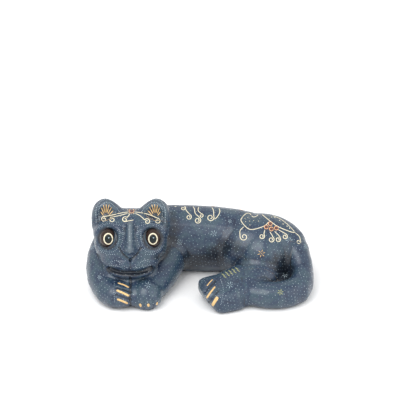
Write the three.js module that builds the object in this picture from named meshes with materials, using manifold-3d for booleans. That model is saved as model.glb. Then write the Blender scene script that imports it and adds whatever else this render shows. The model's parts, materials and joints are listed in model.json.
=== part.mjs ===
// A reclining spotted cat, carved in blocks of light wood that are doweled together.
// Millimetres. +X runs along the back to the tail, +Y goes away from the face, +Z is up.
import * as THREE from 'three';
import { mergeVertices } from 'three/addons/utils/BufferGeometryUtils.js';
import Module from 'manifold-3d';

const wasm = await Module();
wasm.setup();

// Driving dimensions.
const HEAD_X = -72; // middle of the face, and the seam between the two fore paws
const CHIN_Z = 29; // flat face on the forelegs that the chin rests on
const FORELEG_SEAM_Y = 48; // forelegs meet the trunk here
const HIND_SEAM_Y = 60; // the left hind leg and the tail meet the trunk here
const FAR_SEAM_Y = 112; // the right hind leg meets the trunk here
const TAIL_END_X = 46; // blunt end of the tail, against the hind paw
const TAIL_BACK_Y = 30; // back of the tail's front run
const TAIL_INNER_X = 95; // inner side of the tail's side run
const LEG_GAP_X = -6; // in the open space between the fore and hind legs
const FAR_LEG_X = 2; // front end of the right hind leg block
const FAR_LEG_Z = 46; // and its top
const NECK = { y: 22, z: CHIN_Z, tilt: THREE.MathUtils.degToRad(47) }; // foot and slope of the neck seam
// An ear's middle, measured from the middle of the face, with its seam, reach and lean.
const EAR = {
  x: 24.5,
  y: 57,
  seamZ: 84,
  inner: 12,
  outer: 50,
  lean: THREE.MathUtils.degToRad(24),
};
const EYE = { x: 23, y: 28, z: 70.3, radius: 8.6, tall: 1.15 };
const PEG = { radius: 4, ear: 3, clearance: 0.3, sides: 16 };
const GAP = 0.3; // left between blocks that touch
const BIG = 400; // reach of the cutting blocks

const PAINT = new THREE.Color(0.1, 0.145, 0.19);
const EYE_PAINT = new THREE.Color(0.06, 0.035, 0.025);
const BARE_WOOD = new THREE.Color(0.62, 0.46, 0.27);

function solid(geometry) {
  const bare = geometry.clone();
  bare.deleteAttribute('normal');
  bare.deleteAttribute('uv');
  const merged = mergeVertices(bare, 1e-4);
  const vertProperties = new Float32Array(merged.attributes.position.array);
  const triVerts = new Uint32Array(merged.index.array);
  return new wasm.Manifold(new wasm.Mesh({ numProp: 3, vertProperties, triVerts }));
}

function joined(solids) {
  return solids.reduce((whole, next) => whole.add(next));
}

// A rounded limb along a curve. Each station is [x, y, z, half width, half height]. A small blunt
// gives flat ends, and a square below 1 gives a boxier section.
function limb(stations, { sides = 20, rings = 14, blunt = 0.5, square = 1 } = {}) {
  const centre = new THREE.CatmullRomCurve3(stations.map((s) => new THREE.Vector3(s[0], s[1], s[2])));
  const size = new THREE.CatmullRomCurve3(stations.map((s) => new THREE.Vector3(s[3], s[4], 0)));
  const geometry = new THREE.SphereGeometry(1, sides, rings);
  const position = geometry.attributes.position;
  const up = new THREE.Vector3(0, 0, 1);
  for (let i = 0; i < position.count; i += 1) {
    const along = THREE.MathUtils.clamp((position.getY(i) + 1) / 2, 0, 1);
    const radial = Math.hypot(position.getX(i), position.getZ(i));
    const angle = Math.atan2(position.getZ(i), position.getX(i));
    const swell = radial < 1e-6 ? 0 : radial ** blunt;
    const tangent = centre.getTangent(along);
    const side = new THREE.Vector3().crossVectors(tangent, up).normalize();
    const rise = new THREE.Vector3().crossVectors(side, tangent);
    const half = size.getPoint(along);
    const point = centre.getPoint(along);
    const across = Math.sign(Math.cos(angle)) * Math.abs(Math.cos(angle)) ** square;
    const above = Math.sign(Math.sin(angle)) * Math.abs(Math.sin(angle)) ** square;
    point.addScaledVector(side, across * swell * half.x);
    point.addScaledVector(rise, above * swell * half.y);
    position.setXYZ(i, point.x, point.y, point.z);
  }
  return solid(geometry);
}

function ball([x, y, z], [rx, ry, rz], { sides = 20, rings = 14, tiltX = 0, tiltY = 0, tiltZ = 0 } = {}) {
  const geometry = new THREE.SphereGeometry(1, sides, rings);
  geometry.rotateX(Math.PI / 2);
  geometry.scale(rx, ry, rz);
  geometry.rotateX(tiltX);
  geometry.rotateY(tiltY);
  geometry.rotateZ(tiltZ);
  geometry.translate(x, y, z);
  return solid(geometry);
}

function block([x0, y0, z0], [x1, y1, z1]) {
  const geometry = new THREE.BoxGeometry(x1 - x0, y1 - y0, z1 - z0);
  geometry.translate((x0 + x1) / 2, (y0 + y1) / 2, (z0 + z1) / 2);
  return solid(geometry);
}

// Everything on the side of a plane that its normal points to, moved along the normal by offset.
function beyond(point, normal, offset) {
  const geometry = new THREE.BoxGeometry(BIG, BIG, BIG);
  geometry.translate(0, 0, BIG / 2 + offset);
  geometry.applyQuaternion(new THREE.Quaternion().setFromUnitVectors(new THREE.Vector3(0, 0, 1), normal));
  geometry.translate(point.x, point.y, point.z);
  return solid(geometry);
}

function rod(centre, direction, radius, length) {
  const geometry = new THREE.CylinderGeometry(radius, radius, length, PEG.sides);
  geometry.applyQuaternion(new THREE.Quaternion().setFromUnitVectors(new THREE.Vector3(0, 1, 0), direction));
  geometry.translate(centre.x, centre.y, centre.z);
  return geometry;
}

// Forms, before they are sawn into blocks.
function trunkForm() {
  const back = limb([
    [-112, 60, 26, 22, 27],
    [-88, 78, 32, 28, 34],
    [-48, 91, 34, 31.5, 37],
    [-8, 94, 33, 31, 36],
    [32, 92, 32, 32, 35.5],
    [62, 86, 32, 33, 34.5],
    [96, 74, 28, 27, 29],
  ], { sides: 22, rings: 16, blunt: 0.55 });
  const rump = ball([63, 80, 31.5], [48, 36, 34], { sides: 22, rings: 14 });
  const neck = ball([HEAD_X, 56, 48], [34, 26, 33], { sides: 18, rings: 12 });
  const chest = ball([HEAD_X + 1, 34, 12.5], [29, 38, 16], { sides: 18, rings: 10 });
  return joined([back, rump, neck, chest]);
}

function headForm() {
  const skull = ball([HEAD_X, 49, 66.5], [39.5, 30, 23], { sides: 22, rings: 14, tiltX: -0.1 });
  const face = ball([HEAD_X, 41, 58], [38, 27, 29], { sides: 22, rings: 14 });
  const muzzle = ball([HEAD_X, 31, 46], [31, 20, 15.5], { sides: 20, rings: 12 });
  const chin = ball([HEAD_X, 27, 35], [25, 16, 9], { sides: 16, rings: 10 });
  const nose = limb([
    [HEAD_X, 32, 86, 5, 4],
    [HEAD_X, 23, 75, 6, 6],
    [HEAD_X, 16.5, 64, 7, 6.5],
    [HEAD_X, 17, 53, 5, 5],
  ], { sides: 12, rings: 8 });
  return joined([skull, face, muzzle, chin, nose]);
}

// A cupped ear with a broad root; side is 1 for the cat's left ear and -1 for its right.
// The outline is drawn as [out from the middle of the face, height].
function earForm(side) {
  const outline = [[38, 70], [38, 82], [35, 91], [27.5, 96], [20.5, 93.5], [14, 88], [8, 81], [8, 70]];
  const rim = new THREE.SplineCurve(outline.map(([out, height]) => new THREE.Vector2(side * out, height)));
  const leafSettings = { depth: 9, bevelThickness: 3, bevelSize: 2.5, bevelSegments: 2, steps: 1 };
  const geometry = new THREE.ExtrudeGeometry(new THREE.Shape(rim.getPoints(20)), leafSettings);
  geometry.rotateX(Math.PI / 2);
  geometry.translate(HEAD_X, EAR.y + 4.5, 0);
  const cup = ball([HEAD_X + side * (EAR.x + 1), EAR.y - 11, 87.5], [10, 8, 9], { sides: 14, rings: 10 });
  return solid(geometry).subtract(cup);
}

function leftForelegForm() {
  const leg = limb([
    [-30, 88, 30, 28, 30],
    [-37, 60, 21, 20, 21],
    [-48, 31, 14.5, 18, 16.5],
    [-56, 5, 12, 15.5, 14],
  ], { sides: 18, rings: 12 });
  const paw = ball([-55.5, 10.5, 12.5], [16.5, 17, 15.5], { sides: 16, rings: 10 });
  return joined([leg, paw]);
}

function rightForelegForm() {
  return limb([
    [-86, 88, 30, 30, 32],
    [-95, 68, 26, 26, 28],
    [-101, 48, 20, 19, 20],
    [-97, 25, 15, 16.5, 15.5],
    [-89, 9, 13.5, 15.5, 15],
    [-71, 5, 13.5, 16, 15],
  ], { sides: 18, rings: 14 });
}

function leftHindForm() {
  const thigh = ball([66, 66, 28], [30, 30, 32], { sides: 20, rings: 14 });
  const hock = ball([60, 40, 15], [25, 20, 20], { sides: 18, rings: 12 });
  const web = ball([86, 34, 4], [24, 24, 12], { sides: 16, rings: 10 });
  const shank = limb([
    [72, 46, 20, 16, 18],
    [50, 33, 15, 21, 17],
    [27, 15, 12.5, 25, 15],
    [-1, 11, 12, 26, 15],
  ], { sides: 20, rings: 12, blunt: 0.25, square: 0.62 });
  return joined([thigh, hock, web, shank]);
}

function rightHindForm() {
  const thigh = ball([60, 101, 25], [30, 26, 27], { sides: 20, rings: 12 });
  const shank = limb([
    [62, 112, 16, 12, 15],
    [40, 117, 12, 13, 12.5],
    [14, 119, 10, 12.5, 11.5],
  ], { sides: 16, rings: 10, blunt: 0.4 });
  return joined([thigh, shank]);
}

function tailForm() {
  return limb([
    [86, 84, 30, 26, 30],
    [99, 66, 25, 19, 26],
    [107, 42, 16, 12.5, 18],
    [102, 20, 13, 13, 15],
    [82, 9, 13, 14.5, 14],
    [60, 11, 13.5, 16, 15],
    [38, 17, 14, 16.5, 16],
  ], { sides: 18, rings: 18 });
}

// Seams. Each region says which block a part of the form belongs to; grow widens it by half a gap.
const neckNormal = new THREE.Vector3(0, -Math.sin(NECK.tilt), Math.cos(NECK.tilt));
const neckFoot = new THREE.Vector3(HEAD_X, NECK.y, NECK.z);

function earAxis(side) {
  return new THREE.Vector3(side * Math.sin(EAR.lean), 0, Math.cos(EAR.lean));
}

function earRoot(side) {
  return new THREE.Vector3(HEAD_X + side * EAR.x, EAR.y, EAR.seamZ);
}

function earRegion(side, grow) {
  const inner = HEAD_X + side * EAR.inner;
  const outer = HEAD_X + side * EAR.outer;
  const around = block([Math.min(inner, outer), -BIG, CHIN_Z], [Math.max(inner, outer), BIG, BIG]);
  return beyond(earRoot(side), earAxis(side), -grow).intersect(around);
}

function headRegion(grow) {
  const above = block([-BIG, -BIG, CHIN_Z - grow], [LEG_GAP_X, BIG, BIG]);
  return beyond(neckFoot, neckNormal, -grow).intersect(above);
}

function forelegRegion(side, grow) {
  const low = side > 0 ? HEAD_X - grow : -BIG;
  const high = side > 0 ? LEG_GAP_X : HEAD_X + grow;
  return block([low, -BIG, -BIG], [high, FORELEG_SEAM_Y + grow, CHIN_Z + grow]);
}

function tailRegion(grow) {
  const front = block([TAIL_END_X - grow, -BIG, -BIG], [BIG, TAIL_BACK_Y + grow, BIG]);
  const sideRun = block([TAIL_INNER_X - grow, -BIG, -BIG], [BIG, HIND_SEAM_Y + grow, BIG]);
  return joined([front, sideRun]);
}

function leftHindRegion(grow) {
  return block([LEG_GAP_X, -BIG, -BIG], [BIG, HIND_SEAM_Y + grow, BIG]).subtract(tailRegion(-grow));
}

function rightHindRegion(grow) {
  return block([FAR_LEG_X - grow, FAR_SEAM_Y - grow, -BIG], [BIG, BIG, FAR_LEG_Z + grow]);
}

// Pegs: each joins two blocks, and a bore a little wider than it runs into both.
const backward = new THREE.Vector3(0, 1, 0);
const neckDowelY = 46;
const neckDowelZ = NECK.z + (neckDowelY - NECK.y) * Math.tan(NECK.tilt);
const pegs = {
  neck_dowel: { at: [HEAD_X, neckDowelY, neckDowelZ], axis: neckNormal, radius: PEG.radius, length: 30 },
  left_foreleg_dowel: { at: [-44, FORELEG_SEAM_Y, 14], axis: backward, radius: PEG.radius, length: 24 },
  right_foreleg_dowel: { at: [-101, FORELEG_SEAM_Y, 16], axis: backward, radius: PEG.radius, length: 24 },
  left_hind_dowel: { at: [64, HIND_SEAM_Y, 28], axis: backward, radius: PEG.radius, length: 24 },
  right_hind_dowel: { at: [56, FAR_SEAM_Y, 22], axis: backward, radius: PEG.radius, length: 20 },
  tail_peg: { at: [103, HIND_SEAM_Y + 1, 19], axis: backward, radius: PEG.radius, length: 22 },
  left_ear_peg: { at: earRoot(1).toArray(), axis: earAxis(1), radius: PEG.ear, length: 16 },
  right_ear_peg: { at: earRoot(-1).toArray(), axis: earAxis(-1), radius: PEG.ear, length: 16 },
};

function pegGeometry(peg, extra) {
  return rod(new THREE.Vector3(...peg.at), peg.axis, peg.radius + extra, peg.length + 2 * extra);
}

function bored(body, names) {
  return names.reduce((rest, name) => rest.subtract(solid(pegGeometry(pegs[name], PEG.clearance))), body);
}

function eyeForm(side, extra) {
  const r = EYE.radius + extra;
  return ball([HEAD_X + side * EYE.x, EYE.y, EYE.z], [r, r, r * EYE.tall], { sides: 20, rings: 14 });
}

// The blocks.
const ground = block([-BIG, -BIG, 0], [BIG, BIG, BIG]);
const ears = { left: earForm(1), right: earForm(-1) };
const whole = joined([
  trunkForm(),
  headForm(),
  ears.left,
  ears.right,
  leftForelegForm(),
  rightForelegForm(),
  leftHindForm(),
  rightHindForm(),
  tailForm(),
]).intersect(ground);

const keep = (region) => region(-GAP / 2);
const clear = (region) => region(GAP / 2);
const regions = {
  left_ear: (grow) => earRegion(1, grow),
  right_ear: (grow) => earRegion(-1, grow),
  head: headRegion,
  left_foreleg: (grow) => forelegRegion(1, grow),
  right_foreleg: (grow) => forelegRegion(-1, grow),
  tail: tailRegion,
  left_hind_leg: leftHindRegion,
  right_hind_leg: rightHindRegion,
};

const blocks = {};
blocks.left_ear = whole.intersect(keep(regions.left_ear));
blocks.right_ear = whole.intersect(keep(regions.right_ear));
const earless = whole.subtract(clear(regions.left_ear)).subtract(clear(regions.right_ear));
blocks.head = earless.intersect(keep(regions.head)).subtract(eyeForm(1, GAP)).subtract(eyeForm(-1, GAP));
for (const name of ['left_foreleg', 'right_foreleg', 'tail', 'left_hind_leg', 'right_hind_leg']) {
  blocks[name] = earless.intersect(keep(regions[name]));
}
blocks.trunk = Object.entries(regions)
  .filter(([name]) => !name.endsWith('ear'))
  .reduce((rest, [, region]) => rest.subtract(clear(region)), earless);

const boresIn = {
  trunk: [
    'neck_dowel',
    'left_foreleg_dowel',
    'right_foreleg_dowel',
    'left_hind_dowel',
    'right_hind_dowel',
    'tail_peg',
  ],
  head: ['neck_dowel', 'left_ear_peg', 'right_ear_peg'],
  left_ear: ['left_ear_peg'],
  right_ear: ['right_ear_peg'],
  left_foreleg: ['left_foreleg_dowel'],
  right_foreleg: ['right_foreleg_dowel'],
  left_hind_leg: ['left_hind_dowel'],
  right_hind_leg: ['right_hind_dowel'],
  tail: ['tail_peg'],
};

// The figure.
const figure = new THREE.Group();
const finishes = {
  paint: { color: PAINT, roughness: 0.45, metalness: 0 },
  eye: { color: EYE_PAINT, roughness: 0.3, metalness: 0 },
  wood: { color: BARE_WOOD, roughness: 0.75, metalness: 0 },
};

function place(name, geometry, finish) {
  const mesh = new THREE.Mesh(geometry, new THREE.MeshStandardMaterial(finish));
  mesh.name = name;
  figure.add(mesh);
}

function largest(body) {
  const pieces = body.decompose().sort((a, b) => b.volume() - a.volume());
  return pieces[0];
}

function surface(body) {
  const { numProp, vertProperties, triVerts } = body.getMesh();
  const geometry = new THREE.BufferGeometry();
  geometry.setAttribute('position', new THREE.BufferAttribute(new Float32Array(vertProperties), numProp));
  geometry.setIndex(new THREE.BufferAttribute(new Uint32Array(triVerts), 1));
  geometry.computeVertexNormals();
  return geometry;
}

for (const [name, body] of Object.entries(blocks)) {
  place(name, surface(largest(bored(body, boresIn[name]))), finishes.paint);
}
for (const [name, side] of [['left_eye', 1], ['right_eye', -1]]) {
  place(name, surface(eyeForm(side, 0)), finishes.eye);
}
for (const [name, peg] of Object.entries(pegs)) {
  place(name, pegGeometry(peg, 0), finishes.wood);
}

const box = new THREE.Box3().setFromObject(figure);
const middle = box.getCenter(new THREE.Vector3());
figure.position.set(-middle.x, -middle.y, -box.min.z);
figure.updateMatrixWorld(true);

export default figure;
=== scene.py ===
import json
import math
from itertools import product
import bmesh
import bpy
import numpy as np
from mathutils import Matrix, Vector
from mathutils.bvhtree import BVHTree
from mathutils.kdtree import KDTree


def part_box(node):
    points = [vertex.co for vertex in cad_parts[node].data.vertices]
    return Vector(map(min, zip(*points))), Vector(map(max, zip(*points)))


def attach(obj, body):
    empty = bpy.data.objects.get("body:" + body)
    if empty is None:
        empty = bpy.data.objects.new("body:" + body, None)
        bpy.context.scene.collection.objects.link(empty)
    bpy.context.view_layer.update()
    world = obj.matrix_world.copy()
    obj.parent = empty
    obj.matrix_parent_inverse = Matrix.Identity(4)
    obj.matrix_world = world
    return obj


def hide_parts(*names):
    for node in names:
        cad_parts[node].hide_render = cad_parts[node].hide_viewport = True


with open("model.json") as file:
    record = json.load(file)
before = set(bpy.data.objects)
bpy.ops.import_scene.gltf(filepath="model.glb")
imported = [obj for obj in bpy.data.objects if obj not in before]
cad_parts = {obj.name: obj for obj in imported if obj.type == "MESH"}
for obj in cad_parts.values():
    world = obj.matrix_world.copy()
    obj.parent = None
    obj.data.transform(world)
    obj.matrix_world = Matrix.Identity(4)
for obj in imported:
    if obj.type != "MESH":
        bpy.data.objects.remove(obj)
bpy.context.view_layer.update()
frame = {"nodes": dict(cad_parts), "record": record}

# The figure's own millimetres. The middle of the neck dowel fixes where they start.
MM = 0.001
FACE_X = -72.0  # middle of the face, and the seam between the fore paws
NECK_DOWEL_Y = 46.0
CHIN_Z = 29  # the chin rests on the forelegs at this height


def box_of(node):
    """A CAD node's lowest and highest corners."""
    return [Vector(corner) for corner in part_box(node)]


low, high = box_of("neck_dowel")
ORIGIN = Vector(((low.x + high.x) / 2 - FACE_X * MM, (low.y + high.y) / 2 - NECK_DOWEL_Y * MM, 0))


def at(x, y, z):
    """A point given in the figure's millimetres, in metres in the frame."""
    return ORIGIN + Vector((x, y, z)) * MM


# The direction that the figure faces, and the flat board across it on which the front is drawn.
SLOPE = math.radians(30)
FRONT = Vector((0, -math.cos(SLOPE), math.sin(SLOPE)))
ACROSS = Vector((1, 0, 0))
RISE = Vector((0, math.sin(SLOPE), math.cos(SLOPE)))

# Camera.
SENSOR_WIDTH = 36
CAMERA_DISTANCE = 2.4
FRAME_WIDTH = 0.420  # width of the view at the figure
FIGURE_MIDDLE = at(0, 52, 32)
LIFT = 0.0615  # how far above the figure's middle the camera aims


def add_camera():
    data = bpy.data.cameras.new("camera")
    data.sensor_width = SENSOR_WIDTH
    data.lens = SENSOR_WIDTH * CAMERA_DISTANCE / FRAME_WIDTH
    camera = bpy.data.objects.new("camera", data)
    bpy.context.scene.collection.objects.link(camera)
    camera.location = FIGURE_MIDDLE + FRONT * CAMERA_DISTANCE
    aim = FIGURE_MIDDLE + RISE * LIFT
    camera.rotation_euler = (aim - camera.location).to_track_quat("-Z", "Y").to_euler()
    bpy.context.scene.camera = camera


add_camera()


# Mesh helpers.
def new_object(name, mesh):
    obj = bpy.data.objects.new(name, mesh)
    bpy.context.scene.collection.objects.link(obj)
    return obj


def applied(obj):
    """The object's mesh with its modifiers applied; the object keeps none of them."""
    bpy.context.view_layer.update()
    graph = bpy.context.evaluated_depsgraph_get()
    mesh = bpy.data.meshes.new_from_object(obj.evaluated_get(graph))
    obj.modifiers.clear()
    old = obj.data
    obj.data = mesh
    bpy.data.meshes.remove(old)
    return mesh


def mesh_from(shape, name):
    """Turns a bmesh into a mesh and frees it."""
    mesh = bpy.data.meshes.new(name)
    shape.to_mesh(mesh)
    shape.free()
    return mesh


WELD = 1e-6  # in metres


def welded(*nodes):
    """The CAD's own mesh of some nodes, with its doubled vertices joined."""
    shape = bmesh.new()
    for node in nodes:
        shape.from_mesh(frame["nodes"][node].data)
    bmesh.ops.remove_doubles(shape, verts=shape.verts, dist=WELD)
    shape.normal_update()
    return shape


def grow(shape, amount):
    for vert in shape.verts:
        vert.co += vert.normal * amount


def points_of(mesh):
    flat = np.empty(len(mesh.vertices) * 3)
    mesh.vertices.foreach_get("co", flat)
    return flat.reshape(-1, 3)


def set_points(mesh, points):
    mesh.vertices.foreach_set("co", points.ravel())
    mesh.update()


def normals_of(mesh):
    flat = np.empty(len(mesh.vertices) * 3)
    mesh.vertices.foreach_get("normal", flat)
    return flat.reshape(-1, 3)


# The carved surface: one skin over all the blocks, so that it runs on across the seams.
BLOCKS = ("trunk", "head", "left_ear", "right_ear", "left_foreleg", "right_foreleg")
BLOCKS += ("left_hind_leg", "right_hind_leg", "tail")
PEGS = tuple(name for name in frame["nodes"] if name.endswith(("_dowel", "_peg")))
VOXEL = 0.0009
SWELL = 0.0004  # closes the gaps between the blocks before they are joined
SKIN_SMOOTHING = 36  # rounds


def carved_skin():
    whole = welded(*BLOCKS, *PEGS)
    grow(whole, SWELL)
    skin = new_object("skin", mesh_from(whole, "skin"))
    remesh = skin.modifiers.new("remesh", "REMESH")
    remesh.mode = "VOXEL"
    remesh.voxel_size = VOXEL
    smooth = skin.modifiers.new("smooth", "SMOOTH")
    smooth.factor = 0.5
    smooth.iterations = SKIN_SMOOTHING
    applied(skin)
    return skin


def in_figure(points):
    """Points in metres in the frame, as an array of the figure's millimetres."""
    return (points - np.array(ORIGIN)) / MM


def smooth_step(values, start, end):
    t = np.clip((values - start) / (end - start), 0, 1)
    return t * t * (3 - 2 * t)


def curve_through(points, steps=8):
    """A Catmull-Rom curve through the points, as an array with a given number of steps in each stretch."""
    p = np.array(points, dtype=float)
    p = np.vstack([2 * p[0] - p[1], p, 2 * p[-1] - p[-2]])
    t = np.linspace(0, 1, steps, endpoint=False)[:, None]
    stretches = []
    for a, b, c, d in zip(p, p[1:], p[2:], p[3:]):
        even = 2 * b + (c - a) * t
        bend = (2 * a - 5 * b + 4 * c - d) * t**2 + (3 * b - a - 3 * c + d) * t**3
        stretches.append((even + bend) / 2)
    return np.vstack(stretches + [p[-2:-1]])


def distance_to(path, points):
    """Each point's distance to a path of straight stretches."""
    nearest = np.full(len(points), np.inf)
    for start, end in zip(path, path[1:]):
        run = end - start
        t = np.clip(((points - start) @ run) / max(run @ run, 1e-12), 0, 1)
        gap = np.linalg.norm(points - (start + t[:, None] * run), axis=1)
        nearest = np.minimum(nearest, gap)
    return nearest


def neighbours_mean(mesh, points, rounds):
    """Points moved to the mean of their neighbours, again and again."""
    edges = np.empty(len(mesh.edges) * 2, dtype=np.int64)
    mesh.edges.foreach_get("vertices", edges)
    a, b = edges.reshape(-1, 2).T
    count = np.bincount(np.concatenate([a, b]), minlength=len(points))[:, None]
    for _ in range(rounds):
        total = np.zeros_like(points)
        for axis in range(3):
            total[:, axis] = np.bincount(a, points[b, axis], len(points))
            total[:, axis] += np.bincount(b, points[a, axis], len(points))
        points = total / np.maximum(count, 1)
    return points


SURROUNDINGS = 24  # edges out from a vertex


def hollowness(mesh):
    """How far each vertex lies below its surroundings, in millimetres: positive in a crease."""
    points = points_of(mesh)
    away = neighbours_mean(mesh, points, SURROUNDINGS) - points
    return np.einsum("ij,ij->i", away, normals_of(mesh)) / MM


CREASE = (0.02, 0.25)  # hollowness at which the filling starts, and is full
CREASE_STEPS = 4
CREASE_SMOOTHING = 380  # rounds
HEAD_END_X = -20
EARS_FROM_Z = 76
EAR_FILL = 0.8  # leaves the cups of the ears open


def fill_creases(skin):
    """Blends the body's forms into each other where they meet."""
    mesh = skin.data
    figure = in_figure(points_of(mesh))
    crease = smooth_step(hollowness(mesh), *CREASE)
    crease[(figure[:, 0] < HEAD_END_X) & (figure[:, 2] > EARS_FROM_Z)] *= EAR_FILL
    group = skin.vertex_groups.new(name="creases")
    for step in range(1, CREASE_STEPS + 1):
        chosen = np.where(np.ceil(crease * CREASE_STEPS) == step)[0]
        group.add([int(i) for i in chosen], step / CREASE_STEPS, "REPLACE")
    smooth = skin.modifiers.new("fill", "SMOOTH")
    smooth.factor = 0.5
    smooth.iterations = CREASE_SMOOTHING
    smooth.vertex_group = "creases"
    applied(skin)


# Carving, drawn on the board in millimetres: (path, half width, height above the surface).
# The face is measured from the point between the eyes, the paws from the figure's own origin.
EYES_RISE = 74.7  # height of the line between the eyes on the board
EYE_OUT = 23.4
BROW = [(-35, 5), (-31, 10.5), (-23, 13), (-14, 11), (-8.5, 5)]
CHEEK = [(-31, -13), (-25, -16), (-16, -17.5), (-11, -15)]
MOUTH = [(-23, -32), (-19, -34), (-10, -36.2), (0, -36), (9, -36), (17, -33.6), (22, -31)]
LOWER_LIP = [(-16, -38.5), (-8, -40.8), (0, -41.2), (8, -40.6), (15, -37.8)]
NOSE_BLADE = [(0, 13), (0, 2), (0, -10)]
NOSE_TIP = [(-2.5, -12), (0, -14), (2.5, -12)]
NOSE_WING = [(-11.5, -10.5), (-6.5, -17.5), (0, -23)]
BLADE_SIDE = [(-6.5, 10), (-7, -1), (-11, -10)]
PHILTRUM = [(0, -23), (0, -33)]
PAD = [(-13, -27), (-7, -27.5)]


def on_side(path, side):
    """The path as drawn for the left side (1), or its mirror image for the right (-1)."""
    return [(side * x, y) for x, y in path]


def mirrored(path):
    return on_side(path, -1)


def oval(middle_x, middle_y, half_width, half_height, steps=24):
    turns = [2 * math.pi * step / steps for step in range(steps + 1)]
    return [(middle_x + half_width * math.cos(a), middle_y + half_height * math.sin(a)) for a in turns]


def moved(path, right, up):
    return [(x + right, y + up) for x, y in path]


def both_sides(path, half_width, height):
    return [(path, half_width, height), (mirrored(path), half_width, height)]


FACE_MARKS = [
    *both_sides(BROW, 3.4, 1.6),
    *both_sides(oval(-EYE_OUT, 0, 9.5, 11), 2.0, -1.2),
    *both_sides(CHEEK, 3.2, 0.7),
    (NOSE_BLADE, 3.0, 3.0),
    (NOSE_TIP, 3.4, 2.0),
    *both_sides(NOSE_WING, 1.3, -1.4),
    *both_sides(BLADE_SIDE, 2.4, -0.6),
    (PHILTRUM, 0.9, -0.8),
    *both_sides(PAD, 4.4, 1.3),
    (MOUTH, 1.9, -3.2),
    (LOWER_LIP, 2.2, 0.3),
]
PAW_MARKS = [
    ([(-87, 24.8), (-79, 22.5), (-71, 19.4)], 1.0, -1.3),
    ([(-87, 16.4), (-79, 14), (-71, 10.8)], 1.0, -1.3),
    ([(-72, 33), (-72, 18), (-72, 4)], 1.2, -1.3),
    ([(-57.5, 2), (-57.5, 12)], 1.1, -0.8),
    ([(-48.6, 2), (-48.6, 12)], 1.1, -0.8),
    ([(15.5, 30.5), (9, 24), (3.5, 18)], 1.1, -1.2),
    ([(18.5, 20.5), (12.5, 13), (7, 6)], 1.1, -1.2),
    ([(43.5, 33), (43, 20), (45, 6)], 2.6, -0.7),
]
# Painted shade in the mouth, under the lower lip, in the eye sockets, in the pit by the tail, in the hollow
# between belly and haunch and beside the head, and a painted highlight down the nose ridge where the
# strength is negative: (path on the board, half width, strength).
PAINTED_SHADE_AND_HIGHLIGHT = [
    ([(-92, 42.5), (-82, 38.5), (-72, 37), (-62, 38.5), (-52, 42.5)], 3.0, 1.0),
    (oval(FACE_X - EYE_OUT, EYES_RISE, 9, 10), 2.2, 0.5),
    (oval(FACE_X + EYE_OUT, EYES_RISE, 9, 10), 2.2, 0.5),
    (moved(MOUTH, FACE_X, EYES_RISE), 1.8, 0.8),
    ([(FACE_X, 88), (FACE_X, 76), (FACE_X, 62)], 1.6, -1.3),
    ([(80, 54), (88, 50), (90, 42), (82, 37)], 8.5, 0.6),
    ([(-8, 50), (6, 54), (20, 60), (35, 66)], 11.0, 0.55),
    ([(-30, 102), (-27, 86), (-31, 68), (-42, 54)], 6.0, 0.4),
]
FACE_REACH = 44  # half the width of the face
FACE_BACK_Y = 52  # the marks of the face fade out before here
PAW_BACK_Y = 34
PAW_TOP_Z = 34
FADE = 14
FACING = 0.05  # the skin is carved where it turns to the front by more than this
FINE_LOW = (-108, -20, CHIN_Z - 1)
FINE_HIGH = (-34, 42, 94)


def on_board(figure):
    """Figure points as (x, height) on the board."""
    height = figure[:, 1] * math.sin(SLOPE) + figure[:, 2] * math.cos(SLOPE)
    return np.stack([figure[:, 0], height], axis=1)


def is_inside(point, low, high):
    return all(a < c < b for a, c, b in zip(low, point, high))


def refine_face(mesh):
    """Splits the faces of the front of the head, which hold the finest carving."""
    fine = bmesh.new()
    fine.from_mesh(mesh)
    low, high = at(*FINE_LOW), at(*FINE_HIGH)
    edges = [edge for edge in fine.edges if all(is_inside(vert.co, low, high) for vert in edge.verts)]
    bmesh.ops.subdivide_edges(fine, edges=edges, cuts=1, use_grid_fill=True)
    fine.to_mesh(mesh)
    fine.free()


def carve(mesh, marks, region, back_y, origin):
    """Lifts or sinks the skin of a region by the marks, where it faces the front."""
    points = points_of(mesh)
    normals = normals_of(mesh)
    figure = in_figure(points)
    chosen = np.where(region & (figure[:, 1] < back_y) & (normals @ np.array(FRONT) > FACING))[0]
    flat = on_board(figure[chosen]) - origin
    lift = np.zeros(len(chosen))
    for path, half_width, height in marks:
        gap = distance_to(curve_through(path), flat)
        lift += height * np.exp(-((gap / half_width) ** 2))
    fade = 1 - smooth_step(figure[chosen, 1], back_y - FADE, back_y)
    points[chosen] += normals[chosen] * (lift * fade * MM)[:, None]
    set_points(mesh, points)


def carve_face(mesh):
    figure = in_figure(points_of(mesh))
    head = (figure[:, 2] > CHIN_Z - 1) & (abs(figure[:, 0] - FACE_X) < FACE_REACH)
    carve(mesh, FACE_MARKS, head, FACE_BACK_Y, (FACE_X, EYES_RISE))


def carve_paws(mesh):
    low = in_figure(points_of(mesh))[:, 2] < PAW_TOP_Z
    carve(mesh, PAW_MARKS, low, PAW_BACK_Y, (0, 0))


HIND_PAW_X = (-30, 30)
TOE_SLANT = 13
TOE_RISE = (-3, 24)  # heights on the board with the full slant and with none


def slant_toes(mesh):
    """Draws the toes of the hind paw back towards the floor."""
    points = points_of(mesh)
    figure = in_figure(points)
    front, back = HIND_PAW_X
    near = (figure[:, 0] > front) & (figure[:, 0] < back) & (figure[:, 1] < PAW_BACK_Y)
    reach = smooth_step(back - figure[:, 0], 0, back)
    low = 1 - smooth_step(on_board(figure)[:, 1], *TOE_RISE)
    points[near, 0] += (TOE_SLANT * reach * low)[near] * MM
    set_points(mesh, points)


# Hollows filled out by hand: (middle in the figure's millimetres, reach, height).
SWELLINGS = [((108, 74, 42), 13, 2.6)]


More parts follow.
